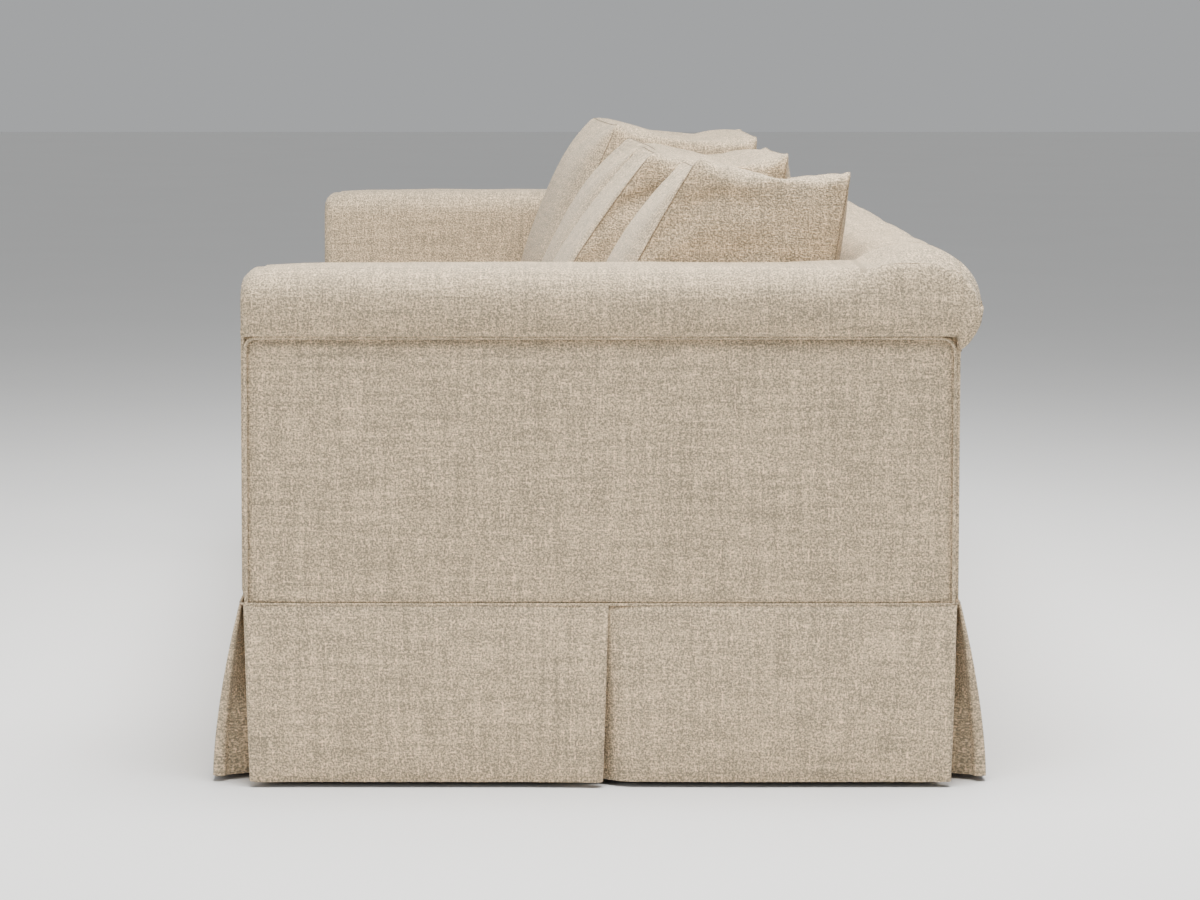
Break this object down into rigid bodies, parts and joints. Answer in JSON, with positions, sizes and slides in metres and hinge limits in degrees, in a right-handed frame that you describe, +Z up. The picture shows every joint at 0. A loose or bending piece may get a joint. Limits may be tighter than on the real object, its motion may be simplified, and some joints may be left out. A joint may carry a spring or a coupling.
{
  "type": "sectional sofa",
  "caption": "Straight sectional sofa in oatmeal linen with low rolled arms, a rolled back, loose boxed cushions and a pleated skirt to the floor.",
  "frame": {"origin": "on the floor under the middle of the sofa", "axes": "+X along the seats, -Y to the front, +Z up"},
  "size_m": [2.592, 1.086, 0.8652],
  "materials": {
    "linen": "heavy slubbed linen weave",
    "decking": "plain decking cloth over padding",
    "dust_cloth": "black non-woven cloth",
    "timber": "raw sawn timber",
    "leg": "dark stained, satin",
    "steel": "bright zinc"
  },
  "bodies": {
    "left_section": {"left_front_border": "linen", "left_arm_cover": "linen", "left_outside_arm_panel": "linen", "left_back_cover": "linen", "left_skirt_front": "linen", "left_skirt_end": "linen", "left_skirt_back": "linen", "left_front_rail": "timber", "left_back_rail": "timber", "left_end_rail": "timber", "left_arm_frame": "timber", "left_back_frame": "timber", "left_leg_front_join": "leg", "left_leg_front_arm": "leg", "left_leg_back_join": "leg", "left_leg_back_arm": "leg", "left_spring_1": "steel", "left_spring_2": "steel", "left_spring_3": "steel", "left_spring_4": "steel", "left_connector_front": "steel", "left_connector_back": "steel", "left_seat_deck": "decking", "left_dust_cover": "dust_cloth"},
    "right_section": {"right_front_border": "linen", "right_arm_cover": "linen", "right_outside_arm_panel": "linen", "right_back_cover": "linen", "right_skirt_front": "linen", "right_skirt_end": "linen", "right_skirt_back": "linen", "right_front_rail": "timber", "right_back_rail": "timber", "right_end_rail": "timber", "right_arm_frame": "timber", "right_back_frame": "timber", "right_leg_front_join": "leg", "right_leg_front_arm": "leg", "right_leg_back_join": "leg", "right_leg_back_arm": "leg", "right_spring_1": "steel", "right_spring_2": "steel", "right_spring_3": "steel", "right_spring_4": "steel", "right_connector_front": "steel", "right_connector_back": "steel", "right_seat_deck": "decking", "right_dust_cover": "dust_cloth"},
    "left_seat_cushion_inner": {"left_seat_cushion_inner": "linen"},
    "left_seat_cushion_outer": {"left_seat_cushion_outer": "linen"},
    "left_back_cushion_inner": {"left_back_cushion_inner": "linen"},
    "left_back_cushion_outer": {"left_back_cushion_outer": "linen"},
    "right_seat_cushion_inner": {"right_seat_cushion_inner": "linen"},
    "right_seat_cushion_outer": {"right_seat_cushion_outer": "linen"},
    "right_back_cushion_inner": {"right_back_cushion_inner": "linen"},
    "right_back_cushion_outer": {"right_back_cushion_outer": "linen"}
  },
  "joints": [
    {"name": "right_section_lift", "type": "slide", "parent": "left_section", "child": "right_section", "axis": [0, 0, 1], "range_m": [0, 0.06]},
    {"name": "left_seat_cushion_inner_pull", "type": "slide", "parent": "left_section", "child": "left_seat_cushion_inner", "axis": [0, -1, 0], "range_m": [0, 0.36]},
    {"name": "left_seat_cushion_outer_pull", "type": "slide", "parent": "left_section", "child": "left_seat_cushion_outer", "axis": [0, -1, 0], "range_m": [0, 0.36]},
    {"name": "left_back_cushion_inner_lift", "type": "slide", "parent": "left_section", "child": "left_back_cushion_inner", "axis": [0, 0, 1], "range_m": [0, 0.3]},
    {"name": "left_back_cushion_outer_lift", "type": "slide", "parent": "left_section", "child": "left_back_cushion_outer", "axis": [0, 0, 1], "range_m": [0, 0.3]},
    {"name": "right_seat_cushion_inner_pull", "type": "slide", "parent": "right_section", "child": "right_seat_cushion_inner", "axis": [0, -1, 0], "range_m": [0, 0.36]},
    {"name": "right_seat_cushion_outer_pull", "type": "slide", "parent": "right_section", "child": "right_seat_cushion_outer", "axis": [0, -1, 0], "range_m": [0, 0.36]},
    {"name": "right_back_cushion_inner_lift", "type": "slide", "parent": "right_section", "child": "right_back_cushion_inner", "axis": [0, 0, 1], "range_m": [0, 0.3]},
    {"name": "right_back_cushion_outer_lift", "type": "slide", "parent": "right_section", "child": "right_back_cushion_outer", "axis": [0, 0, 1], "range_m": [0, 0.3]}
  ]
}
